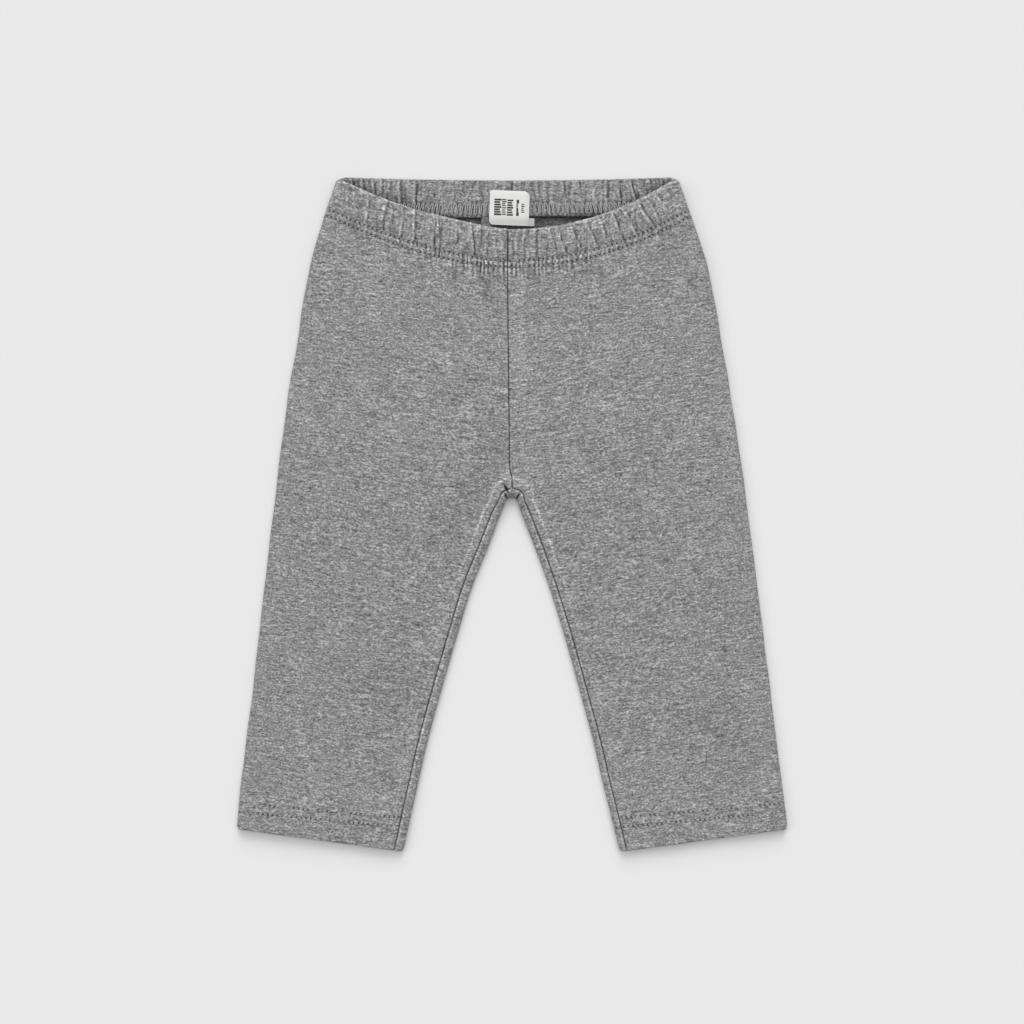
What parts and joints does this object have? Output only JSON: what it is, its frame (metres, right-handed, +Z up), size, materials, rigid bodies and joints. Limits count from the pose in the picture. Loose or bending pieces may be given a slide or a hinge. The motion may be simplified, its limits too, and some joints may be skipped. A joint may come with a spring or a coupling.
{
  "type": "baby leggings",
  "caption": "Pull-on baby leggings of grey melange jersey, laid flat: gathered elastic waist casing, tapered legs with inseams only and turned-up hems.",
  "frame": {"origin": "middle of the footprint of the laid garment, on the surface it lies on", "axes": "+X to the wearer's left, +Y from the hems to the waist, +Z up from the surface, out of the front"},
  "size_m": [0.3096, 0.3797, 0.0088],
  "materials": {
    "jersey": "matte grey melange single jersey of cotton and elastane",
    "label": "white woven satin label",
    "label_tab": "pale grey woven tab"
  },
  "bodies": {
    "root": {"leg_left": "jersey", "leg_right": "jersey", "casing_left": "jersey", "casing_right": "jersey", "hem_left": "jersey", "hem_right": "jersey", "label": "label", "label_tab": "label_tab"}
  },
  "joints": []
}
